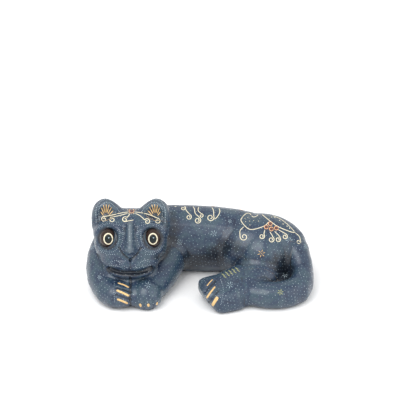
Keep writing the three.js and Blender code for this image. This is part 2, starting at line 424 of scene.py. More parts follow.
def swell(mesh):
    points = points_of(mesh)
    figure = in_figure(points)
    lift = np.zeros(len(points))
    for middle, reach, height in SWELLINGS:
        lift += height * np.exp(-((np.linalg.norm(figure - middle, axis=1) / reach) ** 2))
    set_points(mesh, points + normals_of(mesh) * (lift * MM)[:, None])


def flatten_base(mesh):
    points = points_of(mesh)
    points[:, 2] = np.maximum(points[:, 2], 0)
    points[points[:, 2] < 0.5 * SWELL, 2] = 0
    set_points(mesh, points)


skin = carved_skin()
fill_creases(skin)
refine_face(skin.data)
slant_toes(skin.data)
swell(skin.data)
carve_face(skin.data)
carve_paws(skin.data)
flatten_base(skin.data)


# Sawing the skin into the blocks, along the same seams as the CAD, in the figure's millimetres.
NECK_FOOT = (FACE_X, 22, CHIN_Z)
NECK_TILT = math.radians(47)
EAR_OFFSET, EAR_Y, EAR_SEAM_Z = 24.5, 57, 84
EAR_LEAN = math.radians(24)
EAR_REACH = (12, 50)
FORELEG_SEAM_Y = 48
LEG_GAP_X = -6  # between the fore and hind legs
HIND_SEAM_Y = 60
FAR_LEG_X, FAR_SEAM_Y, FAR_LEG_Z = 2, 112, 46
TAIL_END_X, TAIL_BACK_Y, TAIL_INNER_X = 46, 30, 95
FAR = 300
HAIRLINE = 0.03  # half the open seam round a piece that pulls off


def prism(outline, bottom, top):
    """A closed block over an outline of (x, y) points."""
    shape = bmesh.new()
    ring = [shape.verts.new(at(x, y, bottom)) for x, y in outline]
    base = shape.faces.new(ring)
    risen = bmesh.ops.extrude_face_region(shape, geom=[base])["geom"]
    lift = Vector((0, 0, (top - bottom) * MM))
    bmesh.ops.translate(shape, verts=[v for v in risen if isinstance(v, bmesh.types.BMVert)], vec=lift)
    bmesh.ops.recalc_face_normals(shape, faces=shape.faces)
    return shape


def trimmed(shape, point, normal):
    """Keeps the part of a block on the side of a plane that its normal points to."""
    everything = shape.verts[:] + shape.edges[:] + shape.faces[:]
    cut = bmesh.ops.bisect_plane(
        shape, geom=everything, plane_co=point, plane_no=normal, clear_inner=True
    )["geom_cut"]
    bmesh.ops.holes_fill(shape, edges=[e for e in cut if isinstance(e, bmesh.types.BMEdge)])
    bmesh.ops.recalc_face_normals(shape, faces=shape.faces)
    return shape


def rectangle(x0, y0, x1, y1):
    return [(x0, y0), (x1, y0), (x1, y1), (x0, y1)]


def head_region():
    shape = prism(rectangle(-FAR, -FAR, LEG_GAP_X, FAR), CHIN_Z, FAR)
    normal = Vector((0, -math.sin(NECK_TILT), math.cos(NECK_TILT)))
    return trimmed(shape, at(*NECK_FOOT), normal)


def ear_axis(side):
    return Vector((side * math.sin(EAR_LEAN), 0, math.cos(EAR_LEAN)))


def ear_root(side):
    return at(FACE_X + side * EAR_OFFSET, EAR_Y, EAR_SEAM_Z)


def ear_region(side, grow):
    inner, outer = sorted(FACE_X + side * reach for reach in EAR_REACH)
    shape = prism(rectangle(inner, -FAR, outer, FAR), CHIN_Z, FAR)
    return trimmed(shape, ear_root(side) - ear_axis(side) * grow * MM, ear_axis(side))


LEG_BOXES = {  # lowest x, y and z, then highest
    "left_foreleg": ((FACE_X, -FAR, -FAR), (LEG_GAP_X, FORELEG_SEAM_Y, CHIN_Z)),
    "right_foreleg": ((-FAR, -FAR, -FAR), (FACE_X, FORELEG_SEAM_Y, CHIN_Z)),
    "left_hind_leg": ((LEG_GAP_X, -FAR, -FAR), (FAR, HIND_SEAM_Y, FAR)),
    "right_hind_leg": ((FAR_LEG_X, FAR_SEAM_Y, -FAR), (FAR, FAR, FAR_LEG_Z)),
}


def leg_region(name):
    (x0, y0, z0), (x1, y1, z1) = LEG_BOXES[name]
    return prism(rectangle(x0, y0, x1, y1), z0, z1)


def tail_region(grow):
    outline = [
        (TAIL_END_X - grow, -FAR),
        (FAR, -FAR),
        (FAR, HIND_SEAM_Y + grow),
        (TAIL_INNER_X - grow, HIND_SEAM_Y + grow),
        (TAIL_INNER_X - grow, TAIL_BACK_Y + grow),
        (TAIL_END_X - grow, TAIL_BACK_Y + grow),
    ]
    return prism(outline, -FAR, FAR)


def combined(body, region, operation):
    tool = mesh_from(region, "tool")
    cutter = new_object("tool", tool)
    boolean = body.modifiers.new("cut", "BOOLEAN")
    boolean.operation = operation
    boolean.solver = "MANIFOLD"
    boolean.object = cutter
    applied(body)
    bpy.data.objects.remove(cutter)
    bpy.data.meshes.remove(tool)
    return body


BORE_CLEARANCE = 0.3  # in millimetres, all round a peg


def pegs_in(block):
    """The pegs that enter a block; most are named after the smaller of the two blocks they join."""
    if block == "trunk":
        return [peg for peg in PEGS if "ear_peg" not in peg]
    if block == "head":
        return ["neck_dowel", "left_ear_peg", "right_ear_peg"]
    return [peg for peg in PEGS if block.startswith(peg.rsplit("_", 1)[0])]


def bore(name):
    """The peg's own shape, a little wider and longer."""
    shape = welded(name)
    grow(shape, BORE_CLEARANCE * MM)
    return shape


def copy_of(obj, name):
    return new_object(name, obj.data.copy())


def kept(body, region):
    return combined(body, region, "INTERSECT")


def without(body, region):
    return combined(body, region, "DIFFERENCE")


def sawn_blocks():
    pieces = {}
    for name, side in (("left_ear", 1), ("right_ear", -1)):
        pieces[name] = kept(copy_of(skin, name + "_skin"), ear_region(side, -HAIRLINE))
    rest = copy_of(skin, "trunk_skin")
    without(rest, ear_region(1, HAIRLINE))
    without(rest, ear_region(-1, HAIRLINE))
    pieces["head"] = kept(copy_of(rest, "head_skin"), head_region())
    pieces["tail"] = kept(copy_of(rest, "tail_skin"), tail_region(-HAIRLINE))
    for name in LEG_BOXES:
        pieces[name] = kept(copy_of(rest, name + "_skin"), leg_region(name))
    without(pieces["left_hind_leg"], tail_region(HAIRLINE))
    without(rest, head_region())
    without(rest, tail_region(HAIRLINE))
    for name in LEG_BOXES:
        without(rest, leg_region(name))
    pieces["trunk"] = rest
    for name in BLOCKS:
        for peg in pegs_in(name):
            without(pieces[name], bore(peg))
    return pieces


# Materials.
class Shader:
    """A material's node tree, built by short calls."""

    def __init__(self, name):
        self.material = bpy.data.materials.new(name)
        self.material.use_nodes = True
        self.nodes = self.material.node_tree.nodes
        self.links = self.material.node_tree.links
        self.surface = self.nodes["Principled BSDF"]
        self.place = self.nodes.new("ShaderNodeTexCoord").outputs["Object"]

    def feed(self, socket, value):
        if isinstance(value, bpy.types.NodeSocket):
            self.links.new(value, socket)
        else:
            socket.default_value = value

    def stretched(self, scale):
        node = self.nodes.new("ShaderNodeMapping")
        self.feed(node.inputs["Vector"], self.place)
        node.inputs["Scale"].default_value = scale
        return node.outputs["Vector"]

    def noise(self, scale, detail=3.0, roughness=0.5, vector=None, distortion=0.0):
        node = self.nodes.new("ShaderNodeTexNoise")
        self.feed(node.inputs["Vector"], vector or self.place)
        node.inputs["Scale"].default_value = scale
        node.inputs["Detail"].default_value = detail
        node.inputs["Roughness"].default_value = roughness
        node.inputs["Distortion"].default_value = distortion
        return node.outputs["Fac"]

    def facets(self, scale):
        node = self.nodes.new("ShaderNodeTexVoronoi")
        node.feature = "SMOOTH_F1"
        self.feed(node.inputs["Vector"], self.place)
        node.inputs["Scale"].default_value = scale
        return node.outputs["Distance"]

    def ramp(self, value, stops):
        node = self.nodes.new("ShaderNodeValToRGB")
        self.feed(node.inputs["Fac"], value)
        elements = node.color_ramp.elements
        while len(elements) < len(stops):
            elements.new(0.5)
        for element, (position, colour) in zip(elements, stops):
            element.position = position
            element.color = (*colour, 1)
        return node.outputs["Color"]

    def range(self, value, low, high, new_low, new_high):
        node = self.nodes.new("ShaderNodeMapRange")
        self.feed(node.inputs["Value"], value)
        node.inputs["From Min"].default_value = low
        node.inputs["From Max"].default_value = high
        node.inputs["To Min"].default_value = new_low
        node.inputs["To Max"].default_value = new_high
        return node.outputs["Result"]

    def mix(self, factor, a, b):
        node = self.nodes.new("ShaderNodeMix")
        node.data_type = "RGBA"
        self.feed(node.inputs["Factor"], factor)
        for socket, value in ((node.inputs["A"], a), (node.inputs["B"], b)):
            self.feed(socket, (*value, 1) if isinstance(value, tuple) else value)
        return node.outputs["Result"]

    def attribute(self, name):
        node = self.nodes.new("ShaderNodeAttribute")
        node.attribute_name = name
        return node.outputs["Fac"]

    def bump(self, height, strength, distance, under=None):
        node = self.nodes.new("ShaderNodeBump")
        node.inputs["Strength"].default_value = strength
        node.inputs["Distance"].default_value = distance
        self.feed(node.inputs["Height"], height)
        if under:
            self.feed(node.inputs["Normal"], under)
        return node.outputs["Normal"]

    def finish(self, colour, roughness, normal=None, **constants):
        self.feed(self.surface.inputs["Base Color"], colour)
        self.feed(self.surface.inputs["Roughness"], roughness)
        if normal:
            self.feed(self.surface.inputs["Normal"], normal)
        for socket, value in constants.items():
            self.surface.inputs[socket.replace("_", " ")].default_value = value
        return self.material


# Colours, as linear red, green and blue.
DEEP_BLUE = (0.006, 0.014, 0.038)
SLATE_BLUE = (0.018, 0.038, 0.074)
TEAL = (0.034, 0.068, 0.090)
VIOLET = (0.030, 0.041, 0.080)
SHADE = (0.006, 0.008, 0.013)
WORN_AND_HIGHLIGHT = (0.095, 0.125, 0.145)
IRIS = (0.006, 0.013, 0.014)
EYE_BROWN = (0.030, 0.017, 0.013)
EYE_MOTTLE = (0.02, 0.014, 0.012)
PALE_WOOD = (0.70, 0.54, 0.33)
MID_WOOD = (0.60, 0.43, 0.24)
DARK_WOOD = (0.42, 0.27, 0.13)
PAINT_COLOURS = {  # where it is thick, and where it is thin
    "white": ((0.50, 0.58, 0.62), (0.28, 0.36, 0.41)),
    "dim": ((0.19, 0.27, 0.33), (0.11, 0.17, 0.22)),
    "cream": ((0.80, 0.74, 0.56), (0.62, 0.56, 0.40)),
    "gold": ((0.76, 0.52, 0.24), (0.56, 0.36, 0.15)),
    "orange": ((0.80, 0.46, 0.24), (0.60, 0.30, 0.14)),
    "russet": ((0.22, 0.055, 0.022), (0.12, 0.030, 0.014)),
    "leaf": ((0.46, 0.46, 0.22), (0.30, 0.32, 0.15)),
    "star": ((0.34, 0.43, 0.47), (0.22, 0.30, 0.35)),
}
PAINTS = tuple(PAINT_COLOURS)


def painted_wood():
    s = Shader("painted_wood")
    clouds = s.noise(70, detail=6, roughness=0.7, distortion=0.8)
    blue = s.ramp(clouds, [(0.32, DEEP_BLUE), (0.47, SLATE_BLUE), (0.60, TEAL), (0.72, VIOLET)])
    speckle = s.range(s.noise(850, detail=3, roughness=0.7), 0.3, 0.7, 0.0, 1.0)
    blue = s.mix(s.range(speckle, 0, 1, 0.0, 0.35), blue, DEEP_BLUE)
    shade_and_highlight = s.attribute("shade_and_highlight")
    # Painted shade: the creases and the listed places are darkened towards SHADE.
    blue = s.mix(s.range(shade_and_highlight, 0.05, 0.45, 0.0, 0.85), blue, SHADE)
    # Wear and a painted highlight: ridges, and the nose ridge most, are lightened towards the worn colour.
    wear_and_highlight = s.range(shade_and_highlight, -0.25, -1.3, 0.0, 0.75)
    blue = s.mix(wear_and_highlight, blue, WORN_AND_HIGHLIGHT)
    strokes = s.noise(240, detail=5, roughness=0.65, vector=s.stretched((0.35, 1.0, 1.0)))
    normal = s.bump(s.facets(95), 0.22, 0.0012)
    normal = s.bump(strokes, 0.30, 0.0005, normal)
    roughness = s.range(s.noise(160, detail=3), 0.35, 0.65, 0.30, 0.48)
    return s.finish(blue, roughness, normal, Specular_IOR_Level=0.4, Coat_Weight=0.32, Coat_Roughness=0.18)


def bare_wood():
    s = Shader("bare_wood")
    grain = s.noise(160, detail=5, roughness=0.6, vector=s.stretched((0.15, 1.0, 1.0)), distortion=0.4)
    colour = s.ramp(grain, [(0.3, DARK_WOOD), (0.5, MID_WOOD), (0.7, PALE_WOOD)])
    fibres = s.noise(900, detail=3, vector=s.stretched((0.1, 1.0, 1.0)))
    return s.finish(colour, 0.75, s.bump(fibres, 0.25, 0.0004), Specular_IOR_Level=0.3)


def eye_paint():
    s = Shader("eye_paint")
    iris = s.ramp(s.range(s.attribute("iris"), 0, 12, 0, 1), [(0.0, IRIS), (0.32, IRIS), (0.38, EYE_BROWN)])
    mottle = s.range(s.noise(500, detail=3), 0.35, 0.65, 0.0, 0.4)
    colour = s.mix(mottle, iris, EYE_MOTTLE)
    return s.finish(colour, 0.24, s.bump(s.noise(700), 0.08, 0.0003), Specular_IOR_Level=0.22)


def brushed_paint(name, thick, thin):
    """Opaque decoration paint, a little thinner in places."""
    s = Shader(name + "_paint")
    thinness = s.range(s.noise(650, detail=3, roughness=0.6), 0.35, 0.65, 0.0, 1.0)
    normal = s.bump(s.noise(1500, detail=2), 0.2, 0.0002)
    return s.finish(s.mix(thinness, thick, thin), 0.48, normal, Specular_IOR_Level=0.4)


PAINTED_WOOD = painted_wood()
BARE_WOOD = bare_wood()
EYE_PAINT = eye_paint()
paint_materials = {name: brushed_paint(name, *colours) for name, colours in PAINT_COLOURS.items()}


# The blocks, with paint on the carved skin and bare wood on the sawn faces.
def added_shade_and_highlight(points, normals):
    """Painted shade, and a painted highlight, added to the crease depth for the listed places."""
    facing = smooth_step(normals @ np.array(FRONT), 0.0, 0.3)
    flat = on_board(in_figure(points))
    dark = np.zeros(len(points))
    for path, half_width, strength in PAINTED_SHADE_AND_HIGHLIGHT:
        gap = distance_to(curve_through(path), flat)
        dark += strength * np.exp(-((gap / half_width) ** 2))
    return dark * facing


skin_points = points_of(skin.data)
skin_normals = normals_of(skin.data)
# Painted shade and highlight amounts: the depth of each crease, plus the listed painted shade and
# highlight.
shade_and_highlight = hollowness(skin.data) + added_shade_and_highlight(skin_points, skin_normals)
skin_surface = BVHTree.FromObject(skin, bpy.context.evaluated_depsgraph_get())
skin_tree = KDTree(len(skin_points))
for index, point in enumerate(skin_points):
    skin_tree.insert(point, index)
skin_tree.balance()
ON_SKIN = 1e-5  # a vertex this near to the skin's own, in metres, is one of them
SAWN_SHARE = 0.2  # a face with a smaller share of such vertices was made by the saw


def finish_block(piece):
    """Gives a block the skin's painted shade and highlight amounts and smooth shading, and bares its sawn
    faces.
    """
    mesh = piece.data
    found = [skin_tree.find(point)[1:] for point in points_of(mesh)]
    nearest = np.array([index for index, _ in found])
    on_skin = np.array([distance < ON_SKIN for _, distance in found])
    mesh.attributes.new("shade_and_highlight", "FLOAT", "POINT").data.foreach_set("value", shade_and_highlight[nearest])
    mesh.materials.clear()
    mesh.materials.append(PAINTED_WOOD)
    mesh.materials.append(BARE_WOOD)
    normals = []
    for face in mesh.polygons:
        sawn = on_skin[list(face.vertices)].mean() < SAWN_SHARE
        face.material_index = 1 if sawn else 0
        if sawn:
            normals += [face.normal[:]] * len(face.vertices)
        else:
            normals += [tuple(skin_normals[nearest[v]]) for v in face.vertices]
    mesh.shade_smooth()
    mesh.normals_split_custom_set(normals)
    return points_of(mesh)[on_skin], points_of(mesh)[~on_skin]


blocks = sawn_blocks()
body_of_node = {}
for body, nodes in frame["record"]["behaviour"]["bodies"].items():
    for node in nodes:
        body_of_node[node] = body

skin_points_of_body = {body: [] for body in frame["record"]["behaviour"]["bodies"]}
seam_points = []
for name, piece in blocks.items():
    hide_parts(name)
    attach(piece, body_of_node[name])
    outer, sawn = finish_block(piece)
    skin_points_of_body[body_of_node[name]].append(outer)
    if body_of_node[name] != "carving":
        seam_points.append(sawn)


def body_at(point):
    """The body that a point of the skin rides on."""
    x, y, _ = in_figure(np.array(point))
    for body, side in (("plug_in_left_ear", 1), ("plug_in_right_ear", -1)):
        is_above = (point - ear_root(side)).dot(ear_axis(side)) > 0
        if is_above and EAR_REACH[0] < side * (x - FACE_X) < EAR_REACH[1]:
            return body
    if (x > TAIL_END_X and y < TAIL_BACK_Y) or (x > TAIL_INNER_X and y < HIND_SEAM_Y):
        return "plug_in_tail"
    return "carving"


# Painted decoration: thin closed shapes that lie on the skin.
SUNK = 0.16  # how far the paint's underside lies below the surface, in millimetres
SHOULDER = (0.72, 0.7)  # radius and height of a dot's shoulder, as shares of the dot's own
RIBBON_TOP = 0.55  # width of a stroke's top, as a share of its foot
TIP_WIDTH = 0.35  # width of its ends, as a share of its middle
BRUSH_STEP = 0.55  # between the points of a stroke, in millimetres
BRUSH_LEAP = 2.5  # the brush is lifted where the skin falls away by more than this
GRAZING = 0.3  # the board paints nothing where the skin turns further away from it than this


class Paint:
    """Collects the closed shapes painted on one body."""

    def __init__(self):
        self.points = []
        self.faces = []
        self.paints = []

    def add(self, points, faces, paint):
        start = len(self.points)
        self.points += points
        self.faces += [tuple(start + corner for corner in face) for face in faces]
        self.paints += [PAINTS.index(paint)] * len(faces)


paint_on = {body: Paint() for body in skin_points_of_body}
painted_places = []  # the dots keep clear of these


def dome(centre, normal, radius, height, paint, sides=6, body=None):
    """A round dot of raised paint."""
    normal = Vector(normal)
    right = normal.orthogonal().normalized()
    forward = normal.cross(right)
    points = []
    for reach, lift in ((1.0, -SUNK), (SHOULDER[0], SHOULDER[1] * height)):
        for step in range(sides):
            turn = 2 * math.pi * step / sides
            spoke = right * math.cos(turn) + forward * math.sin(turn)
            points.append(centre + (spoke * reach * radius + normal * lift) * MM)
    points.append(centre + normal * height * MM)
    top = 2 * sides
    faces = [tuple(reversed(range(sides)))]
    for step in range(sides):
        after = (step + 1) % sides
        faces.append((step, after, sides + after, sides + step))
        faces.append((sides + step, sides + after, top))
    paint_on[body or body_at(centre)].add(points, faces, paint)


def ribbon(path, half_width, height, paint, taper, body):
    """A raised stroke of paint along a path of (point, normal) pairs, narrower at both ends."""
    count = len(path)
    lengths = [0.0]
    for (a, _), (b, _) in zip(path, path[1:]):
        lengths.append(lengths[-1] + (b - a).length / MM)
    points = []
    for index, (point, normal) in enumerate(path):
        before, after = path[max(index - 1, 0)][0], path[min(index + 1, count - 1)][0]
        side = (after - before).cross(normal).normalized()
        to_end = min(lengths[index], lengths[-1] - lengths[index])
        width = half_width * min(1.0, TIP_WIDTH + (1 - TIP_WIDTH) * to_end / taper)
        for across, lift in ((-1, -SUNK), (-RIBBON_TOP, height), (RIBBON_TOP, height), (1, -SUNK)):
            points.append(point + (side * across * width + normal * lift) * MM)
    faces = [(3, 2, 1, 0)]
    for index in range(count - 1):
        here, there = 4 * index, 4 * index + 4
        for a, b in ((0, 1), (1, 2), (2, 3), (3, 0)):
            faces.append((here + a, here + b, there + b, there + a))
    last = 4 * (count - 1)
    faces.append((last, last + 1, last + 2, last + 3))
    paint_on[body or body_at(path[count // 2][0])].add(points, faces, paint)


BOARD_AWAY = 0.3  # how far out the board is held, in metres


class Board:
    """A flat drawing board held over the figure. What is drawn on it drops straight onto the skin."""

    def __init__(self, anchor, azimuth, elevation):
        a, e = math.radians(azimuth), math.radians(elevation)
        self.out = Vector((math.sin(a) * math.cos(e), -math.cos(a) * math.cos(e), math.sin(e)))
        self.right = Vector((math.cos(a), math.sin(a), 0))
        self.up = self.out.cross(self.right)
        self.anchor = anchor

    def drop(self, x, y, surface=None):
        """The point and normal of the skin under a point of the board, or None."""
        start = self.anchor + (self.right * x + self.up * y) * MM + self.out * BOARD_AWAY
        point, normal, _, _ = (surface or skin_surface).ray_cast(start, -self.out)
        return (point, normal) if point and normal.dot(self.out) > GRAZING else None

    def stroke(
        self, points, half_width=0.55, paint="cream", height=0.22, surface=None, body=None, taper=1.6
    ):
        """Paints a smooth line through points of the board, lifting the brush where there is no skin."""
        run = []
        for x, y in spaced(curve_through(points), BRUSH_STEP):
            hit = self.drop(x, y, surface)
            jump = hit and run and (hit[0] - run[-1][0]).length > BRUSH_LEAP * MM
            crosses = hit and run and not body and body_at(hit[0]) != body_at(run[-1][0])
            if not hit or jump or crosses:
                self.lift(run, half_width, height, paint, body, taper)
                run = []
            if hit:
                run.append(hit)
        self.lift(run, half_width, height, paint, body, taper)

    def lift(self, run, half_width, height, paint, body, taper):
        if len(run) > 2:
            ribbon(run, half_width, height, paint, taper, body)
            painted_places.extend(point for point, _ in run)

    def dot(self, x, y, radius=0.5, paint="white", height=0.3, sides=6):
        hit = self.drop(x, y)
        if hit:
            dome(hit[0], hit[1], radius, height, paint, sides)
            painted_places.append(hit[0])

    def dotted(self, points, gap=1.9, radius=0.42):
        for x, y in spaced(curve_through(points), gap):
            self.dot(x, y, radius)


def spaced(curve, gap):
    """Points a steady gap apart along a curve."""
    steps = np.linalg.norm(np.diff(curve, axis=0), axis=1)
    along = np.concatenate([[0], np.cumsum(steps)])
    count = max(int(along[-1] / gap), 1)
    wanted = np.linspace(0, along[-1], count + 1)
    return np.stack([np.interp(wanted, along, curve[:, axis]) for axis in range(2)], axis=1)


SPIRAL_CLOSING = 0.72  # share of its radius that a spiral loses on the way in


def spiral(x, y, radius, start, turns, steps=16):
    """Points that wind in to a centre; start is an angle in degrees, and minus turns wind clockwise."""
    points = []
    for step in range(steps + 1):
        done = step / steps
        angle = math.radians(start + 360 * turns * done)
        reach = radius * (1 - SPIRAL_CLOSING * done)
        points.append((x + reach * math.cos(angle), y + reach * math.sin(angle)))
    return points


STAR_STROKES = 6
STAR_HEART = 0.3  # share of the reach that the strokes leave open


def star(board, x, y, reach=3.6, paint="star", half_width=0.55):
    """A flower of plain strokes round a dot."""
    for stroke in range(STAR_STROKES):
        turn = 2 * math.pi * (stroke + 0.25) / STAR_STROKES
        tip = (x + reach * math.cos(turn), y + reach * math.sin(turn))
        root = (x + STAR_HEART * reach * math.cos(turn), y + STAR_HEART * reach * math.sin(turn))
        board.stroke([root, tip], half_width, paint, 0.16)
    board.dot(x, y, 0.5, paint, 0.25)


def front_board(x, height):
    """A board that faces the front, with its origin at a place given on the front board."""
    return Board(ORIGIN + (ACROSS * x + RISE * height) * MM, 0, math.degrees(SLOPE))


def paint_face():
    face = front_board(FACE_X, EYES_RISE)
    for path in (
        [(-35, 8.5), (-30, 13), (-22, 15), (-13, 13.5), (-6, 12)],
        [(-33, 11.5), (-28, 16), (-20, 17.5), (-12, 16)],
        [(-7.6, 10), (-7.4, -1), (-10.5, -10)],
        [(-11.3, 9), (-11, 0), (-12.5, -7)],
        [(-33, -9), (-26, -13.5), (-18, -14), (-12.5, -10.5)],
        [(-31, -12.5), (-24, -16.5), (-16, -16.8)],
        [(-20, -24.5), (-14, -23), (-9, -26.5), (-4, -30)],
        [(-21, -28), (-13, -29), (-6, -31.5)],
    ):
        face.dotted(path)
        face.dotted(mirrored(path))


def keep_mouth_clear():
    face = front_board(FACE_X, EYES_RISE)
    for path in (MOUTH, LOWER_LIP):
        for x, y in spaced(curve_through(path), 0.6):
            hit = face.drop(x, y)
            if hit:
                painted_places.append(hit[0])


def paint_forehead():
    brow = front_board(FACE_X + 1, 103)
    brow.dot(0, 0, 1.7, "russet", 0.4, 10)
    brow.stroke(oval(0, 0, 2.6, 2.2), 0.5, "orange", 0.25)
    for petal in range(5):
        turn = math.pi * (0.1 + petal / 5 * 2)
        brow.dot(4.4 * math.cos(turn), 3.6 * math.sin(turn), 0.75, "cream")
    for stroke in (
        [(-3, -1), (-10, -2), (-19, -4), (-27, -5.5)] + spiral(-28.5, -8.5, 3.0, 70, 1.3),
        [(-4, -2.5), (-11, -4.5), (-18, -6)] + spiral(-19.5, -9, 3.2, 70, 1.3),
        [(3, -1), (11, -2), (19, -4), (26, -7)] + spiral(27, -10.5, 3.0, 90, -1.3),
        [(4, -2.5), (9, -5), (13, -8.5)] + spiral(16.5, -11, 3.2, 150, -1.3),
        [(-1.5, -3), (-4, -6.5)] + spiral(-6.5, -9, 3.0, 60, 1.2),
        [(-7.5, -11.5), (-3, -10.5), (2.5, -9.5)],
    ):
        brow.stroke(stroke, 0.62)


def paint_ear(side):
    ear = front_board(FACE_X + side * 26, 103)
    rim = [(9.8, -12), (9.8, 1), (7, 8), (1.5, 11.8), (-5.8, 11.2), (-12, 7), (-18, 1.5)]
    inner_rim = [(6.6, -9), (6.8, 1), (4.5, 6), (0.5, 8.8), (-5, 8.2), (-10, 4.2), (-14.5, -0.5)]
    ear.dotted(on_side(rim, side), 1.7, 0.55)
    ear.dotted(on_side(inner_rim, side), 1.7, 0.5)
    for tip, root in (
        ((-6.5, 4), (-2.5, -3)),
        ((-4, 6.8), (-1.5, -2)),
        ((-1, 7), (-0.5, -2)),
        ((2, 6.4), (0.5, -2)),
        ((4.2, 3.4), (1.5, -3)),
        ((-8, 0.5), (-3.5, -4.5)),
        ((5, -0.5), (2, -5)),
    ):
        ear.stroke(on_side([tip, root], side), 0.55, "gold", 0.2)


def paint_claws():
    paws = front_board(0, 0)
    for path, half_width in (
        ([(-85, 28.5), (-79, 26.6), (-73.4, 23.8)], 1.2),
        ([(-86.2, 21.2), (-80, 18.6), (-73.2, 15.2)], 1.35),
        ([(-85.6, 12), (-80, 9.8), (-74.6, 7.2)], 1.25),
        ([(13, 32), (10, 29), (7.2, 25.4)], 0.8),
        ([(15.6, 24.8), (10.5, 18.5), (6, 11.8)], 1.2),
        ([(18.2, 14.3), (14.5, 8.5), (11.8, 3.6)], 1.8),
        ([(-61.7, 7.2), (-61.5, 4.0)], 1.5),
        ([(-53.3, 7.2), (-53.2, 4.0)], 1.5),
        ([(-44.2, 8.6), (-44.6, 5.2)], 1.4),
    ):
        paws.stroke(path, half_width, "gold", 0.35, taper=0.8)
    paws.dotted([(-88.5, 30), (-88.8, 20), (-88, 9)])
    paws.dotted([(4.5, 34), (0, 24), (2.5, 10)])
    paws.dotted([(21, 34), (24, 22), (22, 8)])
    star(paws, -54, 26.5)
    star(paws, 31, 26.5)
    star(paws, -104.5, 34.5, 2.4)
    for x, y in ((22.5, 38), (26, 40), (29.5, 41.5), (33, 43), (36.5, 44.5)):
        paws.stroke([(x, y), (x + 3.4, y - 2.2)], 0.65, "leaf", 0.16)
        paws.stroke([(x + 1.8, y - 2.4), (x + 5.0, y - 4.4)], 0.55, "leaf", 0.16)


def paint_back():
    back = front_board(-3, 109.5)
    back.stroke([(-24, -1), (-19, 0.5), (-14, 0)] + spiral(-15, -2.6, 2.4, 60, -1.2))
    back.stroke([(-12, 1), (-12, -4), (-8, -9)] + spiral(-8.8, -12, 3.0, 80, -1.4))
    back.stroke([(-6, 1), (-3, -3), (-2, -8), (2, -12)] + spiral(0.5, -15.6, 3.6, 70, -1.5))
    back.stroke([(2, 0), (1, -5), (4, -8)] + spiral(4.4, -10.6, 2.2, 90, -1.2))
    back.stroke([(14, 0), (17, -4), (17.5, -9)] + spiral(14, -12.5, 4.0, 30, -1.4))
    back.stroke([(22, 0), (24, -6), (21, -12), (18, -14.5)])
    back.dot(-7.5, 0.6, 0.9, "orange", 0.3, 8)
    back.dot(-4.5, 1.4, 0.8, "orange", 0.3, 8)
    star(back, 17.5, -29.5)
    star(back, -18.5, -39, 3.2)
    star(back, 34.5, -16.5, 2.2)


def paint_rump():
    rump = front_board(63.5, 102)
    rump.stroke([(0, 0), (-4, -3.6), (-7.6, -4.4), (-10.7, -0.8), (-14.4, -0.6), (-18.5, -4)])
    rump.stroke([(-18.5, -4), (-20.2, -8.5), (-13.9, -16.3), (-7.6, -17.7), (3.7, -14.2), (8.5, -10)])
    rump.stroke([(0, 0), (10.3, -8.9), (18.7, -14.9), (31.3, -20), (36.5, -20.9)], 0.65)
    rump.stroke([(36.5, -20.9), (41, -25), (42.2, -30)] + spiral(40, -30.5, 2.4, 0, -1.1))
    rump.stroke([(-17.6, -14.9), (-21.4, -19), (-21.6, -24)] + spiral(-17.5, -25.5, 4.0, 180, 1.2))
    rump.stroke([(2, 0), (12, -2.5), (22, -7), (30, -13.5), (36, -20)], 0.5)
    for x, y in ((15.5, -4.9), (20.3, -8.1), (23.9, -12), (28.1, -14.2), (30.8, -16.3), (12, -4.6)):
        rump.dot(x, y, 0.8, "cream", 0.35, 8)
    for x, y in ((-16, -6), (-13, -5), (-15.5, -9.5), (-11.5, -9), (-7, -8.5), (-11, -13), (-2, -9)):
        rump.dot(x, y, 0.6, "cream")
    for x, y in ((6, -15.2), (11.3, -17.3), (16.6, -16.3), (10.3, -11.7)):
        rump.dot(x, y, 1.2, "russet", 0.35, 8)
        rump.stroke(oval(x, y, 2.1, 2.0, 12), 0.5, "orange", 0.28)
    rump.stroke([(4.5, -18), (3.5, -22)] + spiral(1.2, -25, 3.0, 40, -1.4))
    rump.stroke([(9.5, -20), (12, -24)] + spiral(11, -28.4, 3.2, 60, -1.4))
    rump.stroke([(14.5, -19.5), (19, -24)] + spiral(18.2, -28.2, 3.0, 60, -1.4))
    rump.stroke([(18.5, -18), (25, -21.5)] + spiral(25.6, -25.2, 3.0, 80, -1.4))
    star(rump, 0.5, -43, 4.2, paint="gold", half_width=0.5)
    star(front_board(89, 36.5), 0, 0, 2.8, paint="white")
    star(front_board(83, 19), 0, 0, 3.2, paint="leaf")


def paint_far_side():
    """The same kinds of motif, carried on round the back."""
    scroll = [(0, 0), (4, -3), (7, -8)] + spiral(8.5, -13, 3.6, 110, -1.4)
    hook = [(0, 0), (-1.5, -7), (0, -14)] + spiral(0, -18, 3.0, 90, 1.3)
    for x in (-72, -44, -16, 14, 44):
        board = Board(at(x, 90, 50), 180, 28)
        board.stroke(scroll)
        board.stroke(mirrored(scroll))
        board.stroke(mirrored(hook))
        board.dot(0, 2.6, 1.1, "russet", 0.35, 8)
        board.stroke(oval(0, 2.6, 2.0, 2.0, 12), 0.5, "orange", 0.25)
    for x, z in ((-58, 30), (-30, 38), (0, 28), (30, 40), (62, 26), (84, 40)):
        star(Board(at(x, 90, z), 180, 15), 0, 0, 3.2)
    for height in (38, 52):
        star(Board(at(100, 60, height), 90, 20), 0, 0, 3.0)
        star(Board(at(-105, 60, height), -90, 20), 0, 0, 3.0)
    for side in (1, -1):
        ear = Board(at(FACE_X + side * 26, EAR_Y, 88), 180, 20)
        for lean in (-3, 0, 3):
            ear.stroke([(lean, 4), (0.4 * lean, -5)], 0.5, "gold", 0.2)


